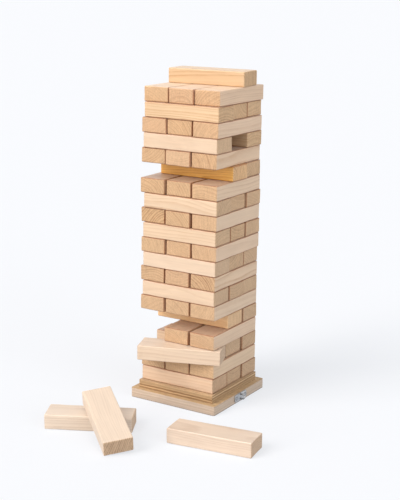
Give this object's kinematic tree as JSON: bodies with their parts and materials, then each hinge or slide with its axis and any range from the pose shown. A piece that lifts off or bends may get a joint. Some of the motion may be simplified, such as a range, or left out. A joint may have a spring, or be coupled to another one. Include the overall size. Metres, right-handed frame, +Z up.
{
  "type": "giant tumbling tower",
  "caption": "Stacking and balancing lawn game: long wooden blocks laid crosswise in courses on a square two-step base, some drawn out and lying loose.",
  "frame": {"origin": "centre of the base board's underside, on the ground", "axes": "+Z up the tower, +X to the right across the front, +Y from the front towards the back"},
  "size_m": [0.4491, 0.5127, 0.7079],
  "materials": {
    "pine": "sanded, unfinished pine with eased edges",
    "plywood": "sanded birch plywood with plies showing at the edges",
    "zinc": "dull zinc-plated steel"
  },
  "bodies": {
    "base": {"base_board": "plywood", "plinth": "plywood", "plinth_screws": "zinc", "staple_plates": "zinc", "staple_loops": "zinc", "staple_screws": "zinc"},
    "course_01_blocks": {"course_01_blocks": "pine"},
    "course_02_blocks": {"course_02_blocks": "pine"},
    "course_20_blocks": {"course_20_blocks": "pine"},
    "course_03_middle_block": {"course_03_middle_block": "pine"},
    "course_03_back_block": {"course_03_back_block": "pine"},
    "course_04_middle_block": {"course_04_middle_block": "pine"},
    "course_04_right_block": {"course_04_right_block": "pine"},
    "course_05_middle_block": {"course_05_middle_block": "pine"},
    "course_05_back_block": {"course_05_back_block": "pine"},
    "course_06_left_block": {"course_06_left_block": "pine"},
    "course_06_middle_block": {"course_06_middle_block": "pine"},
    "course_06_right_block": {"course_06_right_block": "pine"},
    "course_07_front_block": {"course_07_front_block": "pine"},
    "course_07_middle_block": {"course_07_middle_block": "pine"},
    "course_07_back_block": {"course_07_back_block": "pine"},
    "course_08_left_block": {"course_08_left_block": "pine"},
    "course_08_middle_block": {"course_08_middle_block": "pine"},
    "course_08_right_block": {"course_08_right_block": "pine"},
    "course_09_front_block": {"course_09_front_block": "pine"},
    "course_09_middle_block": {"course_09_middle_block": "pine"},
    "course_09_back_block": {"course_09_back_block": "pine"},
    "course_10_left_block": {"course_10_left_block": "pine"},
    "course_10_middle_block": {"course_10_middle_block": "pine"},
    "course_10_right_block": {"course_10_right_block": "pine"},
    "course_11_front_block": {"course_11_front_block": "pine"},
    "course_11_middle_block": {"course_11_middle_block": "pine"},
    "course_11_back_block": {"course_11_back_block": "pine"},
    "course_12_left_block": {"course_12_left_block": "pine"},
    "course_12_middle_block": {"course_12_middle_block": "pine"},
    "course_12_right_block": {"course_12_right_block": "pine"},
    "course_13_front_block": {"course_13_front_block": "pine"},
    "course_13_middle_block": {"course_13_middle_block": "pine"},
    "course_13_back_block": {"course_13_back_block": "pine"},
    "course_14_left_block": {"course_14_left_block": "pine"},
    "course_14_middle_block": {"course_14_middle_block": "pine"},
    "course_14_right_block": {"course_14_right_block": "pine"},
    "course_15_middle_block": {"course_15_middle_block": "pine"},
    "course_15_back_block": {"course_15_back_block": "pine"},
    "course_16_left_block": {"course_16_left_block": "pine"},
    "course_16_middle_block": {"course_16_middle_block": "pine"},
    "course_16_right_block": {"course_16_right_block": "pine"},
    "course_17_front_block": {"course_17_front_block": "pine"},
    "course_17_back_block": {"course_17_back_block": "pine"},
    "course_18_left_block": {"course_18_left_block": "pine"},
    "course_18_middle_block": {"course_18_middle_block": "pine"},
    "course_18_right_block": {"course_18_right_block": "pine"},
    "course_19_front_block": {"course_19_front_block": "pine"},
    "course_19_middle_block": {"course_19_middle_block": "pine"},
    "course_19_back_block": {"course_19_back_block": "pine"},
    "course_03_drawn_block": {"course_03_drawn_block": "pine"},
    "top_block": {"top_block": "pine"},
    "single_block": {"single_block": "pine"},
    "lying_block": {"lying_block": "pine"},
    "leaning_block": {"leaning_block": "pine"}
  },
  "joints": [
    {"name": "course_01_blocks_slide", "type": "slide", "parent": "base", "child": "course_01_blocks", "axis": [1, 0, 0], "range_m": [-0.09, 0.09]},
    {"name": "course_02_blocks_slide", "type": "slide", "parent": "base", "child": "course_02_blocks", "axis": [0, 1, 0], "range_m": [-0.09, 0.09]},
    {"name": "course_20_blocks_slide", "type": "slide", "parent": "base", "child": "course_20_blocks", "axis": [0, 1, 0], "range_m": [-0.09, 0.09]},
    {"name": "course_03_middle_block_slide", "type": "slide", "parent": "base", "child": "course_03_middle_block", "axis": [1, 0, 0], "range_m": [-0.18, 0.18]},
    {"name": "course_03_back_block_slide", "type": "slide", "parent": "base", "child": "course_03_back_block", "axis": [1, 0, 0], "range_m": [-0.18, 0.18]},
    {"name": "course_04_middle_block_slide", "type": "slide", "parent": "base", "child": "course_04_middle_block", "axis": [0, 1, 0], "range_m": [-0.15, 0.18]},
    {"name": "course_04_right_block_slide", "type": "slide", "parent": "base", "child": "course_04_right_block", "axis": [0, 1, 0], "range_m": [-0.15, 0.18]},
    {"name": "course_05_middle_block_slide", "type": "slide", "parent": "base", "child": "course_05_middle_block", "axis": [1, 0, 0], "range_m": [-0.18, 0.18]},
    {"name": "course_05_back_block_slide", "type": "slide", "parent": "base", "child": "course_05_back_block", "axis": [1, 0, 0], "range_m": [-0.18, 0.18]},
    {"name": "course_06_left_block_slide", "type": "slide", "parent": "base", "child": "course_06_left_block", "axis": [0, 1, 0], "range_m": [-0.15, 0.18]},
    {"name": "course_06_middle_block_slide", "type": "slide", "parent": "base", "child": "course_06_middle_block", "axis": [0, 1, 0], "range_m": [-0.15, 0.18]},
    {"name": "course_06_right_block_slide", "type": "slide", "parent": "base", "child": "course_06_right_block", "axis": [0, 1, 0], "range_m": [-0.15, 0.18]},
    {"name": "course_07_front_block_slide", "type": "slide", "parent": "base", "child": "course_07_front_block", "axis": [1, 0, 0], "range_m": [-0.18, 0.18]},
    {"name": "course_07_middle_block_slide", "type": "slide", "parent": "base", "child": "course_07_middle_block", "axis": [1, 0, 0], "range_m": [-0.18, 0.18]},
    {"name": "course_07_back_block_slide", "type": "slide", "parent": "base", "child": "course_07_back_block", "axis": [1, 0, 0], "range_m": [-0.18, 0.18]},
    {"name": "course_08_left_block_slide", "type": "slide", "parent": "base", "child": "course_08_left_block", "axis": [0, 1, 0], "range_m": [-0.15, 0.18]},
    {"name": "course_08_middle_block_slide", "type": "slide", "parent": "base", "child": "course_08_middle_block", "axis": [0, 1, 0], "range_m": [-0.15, 0.18]},
    {"name": "course_08_right_block_slide", "type": "slide", "parent": "base", "child": "course_08_right_block", "axis": [0, 1, 0], "range_m": [-0.15, 0.18]},
    {"name": "course_09_front_block_slide", "type": "slide", "parent": "base", "child": "course_09_front_block", "axis": [1, 0, 0], "range_m": [-0.18, 0.18]},
    {"name": "course_09_middle_block_slide", "type": "slide", "parent": "base", "child": "course_09_middle_block", "axis": [1, 0, 0], "range_m": [-0.18, 0.18]},
    {"name": "course_09_back_block_slide", "type": "slide", "parent": "base", "child": "course_09_back_block", "axis": [1, 0, 0], "range_m": [-0.18, 0.18]},
    {"name": "course_10_left_block_slide", "type": "slide", "parent": "base", "child": "course_10_left_block", "axis": [0, 1, 0], "range_m": [-0.15, 0.18]},
    {"name": "course_10_middle_block_slide", "type": "slide", "parent": "base", "child": "course_10_middle_block", "axis": [0, 1, 0], "range_m": [-0.15, 0.18]},
    {"name": "course_10_right_block_slide", "type": "slide", "parent": "base", "child": "course_10_right_block", "axis": [0, 1, 0], "range_m": [-0.15, 0.18]},
    {"name": "course_11_front_block_slide", "type": "slide", "parent": "base", "child": "course_11_front_block", "axis": [1, 0, 0], "range_m": [-0.18, 0.18]},
    {"name": "course_11_middle_block_slide", "type": "slide", "parent": "base", "child": "course_11_middle_block", "axis": [1, 0, 0], "range_m": [-0.18, 0.18]},
    {"name": "course_11_back_block_slide", "type": "slide", "parent": "base", "child": "course_11_back_block", "axis": [1, 0, 0], "range_m": [-0.18, 0.18]},
    {"name": "course_12_left_block_slide", "type": "slide", "parent": "base", "child": "course_12_left_block", "axis": [0, 1, 0], "range_m": [-0.15, 0.18]},
    {"name": "course_12_middle_block_slide", "type": "slide", "parent": "base", "child": "course_12_middle_block", "axis": [0, 1, 0], "range_m": [-0.15, 0.18]},
    {"name": "course_12_right_block_slide", "type": "slide", "parent": "base", "child": "course_12_right_block", "axis": [0, 1, 0], "range_m": [-0.15, 0.18]},
    {"name": "course_13_front_block_slide", "type": "slide", "parent": "base", "child": "course_13_front_block", "axis": [1, 0, 0], "range_m": [-0.18, 0.18]},
    {"name": "course_13_middle_block_slide", "type": "slide", "parent": "base", "child": "course_13_middle_block", "axis": [1, 0, 0], "range_m": [-0.18, 0.18]},
    {"name": "course_13_back_block_slide", "type": "slide", "parent": "base", "child": "course_13_back_block", "axis": [1, 0, 0], "range_m": [-0.18, 0.18]},
    {"name": "course_14_left_block_slide", "type": "slide", "parent": "base", "child": "course_14_left_block", "axis": [0, 1, 0], "range_m": [-0.15, 0.18]},
    {"name": "course_14_middle_block_slide", "type": "slide", "parent": "base", "child": "course_14_middle_block", "axis": [0, 1, 0], "range_m": [-0.15, 0.18]},
    {"name": "course_14_right_block_slide", "type": "slide", "parent": "base", "child": "course_14_right_block", "axis": [0, 1, 0], "range_m": [-0.15, 0.18]},
    {"name": "course_15_middle_block_slide", "type": "slide", "parent": "base", "child": "course_15_middle_block", "axis": [1, 0, 0], "range_m": [-0.18, 0.18]},
    {"name": "course_15_back_block_slide", "type": "slide", "parent": "base", "child": "course_15_back_block", "axis": [1, 0, 0], "range_m": [-0.18, 0.18]},
    {"name": "course_16_left_block_slide", "type": "slide", "parent": "base", "child": "course_16_left_block", "axis": [0, 1, 0], "range_m": [-0.15, 0.18]},
    {"name": "course_16_middle_block_slide", "type": "slide", "parent": "base", "child": "course_16_middle_block", "axis": [0, 1, 0], "range_m": [-0.15, 0.18]},
    {"name": "course_16_right_block_slide", "type": "slide", "parent": "base", "child": "course_16_right_block", "axis": [0, 1, 0], "range_m": [-0.15, 0.18]},
    {"name": "course_17_front_block_slide", "type": "slide", "parent": "base", "child": "course_17_front_block", "axis": [1, 0, 0], "range_m": [-0.18, 0.18]},
    {"name": "course_17_back_block_slide", "type": "slide", "parent": "base", "child": "course_17_back_block", "axis": [1, 0, 0], "range_m": [-0.18, 0.18]},
    {"name": "course_18_left_block_slide", "type": "slide", "parent": "base", "child": "course_18_left_block", "axis": [0, 1, 0], "range_m": [-0.15, 0.18]},
    {"name": "course_18_middle_block_slide", "type": "slide", "parent": "base", "child": "course_18_middle_block", "axis": [0, 1, 0], "range_m": [-0.15, 0.18]},
    {"name": "course_18_right_block_slide", "type": "slide", "parent": "base", "child": "course_18_right_block", "axis": [0, 1, 0], "range_m": [-0.15, 0.18]},
    {"name": "course_19_front_block_slide", "type": "slide", "parent": "base", "child": "course_19_front_block", "axis": [1, 0, 0], "range_m": [-0.18, 0.18]},
    {"name": "course_19_middle_block_slide", "type": "slide", "parent": "base", "child": "course_19_middle_block", "axis": [1, 0, 0], "range_m": [-0.18, 0.18]},
    {"name": "course_19_back_block_slide", "type": "slide", "parent": "base", "child": "course_19_back_block", "axis": [1, 0, 0], "range_m": [-0.18, 0.18]},
    {"name": "course_03_drawn_block_slide", "type": "slide", "parent": "base", "child": "course_03_drawn_block", "axis": [-0.9403, -0.3404, 0], "range_m": [0, 0.12]},
    {"name": "top_block_lift", "type": "slide", "parent": "course_20_blocks", "child": "top_block", "axis": [0, 0, 1], "range_m": [0, 0.2]},
    {"name": "single_block_lift", "type": "slide", "parent": "base", "child": "single_block", "axis": [0, 0, 1], "range_m": [0, 0.3]},
    {"name": "lying_block_lift", "type": "slide", "parent": "base", "child": "lying_block", "axis": [0, 0, 1], "range_m": [0, 0.3]},
    {"name": "leaning_block_lift", "type": "slide", "parent": "lying_block", "child": "leaning_block", "axis": [0, 0, 1], "range_m": [0, 0.3]}
  ]
}
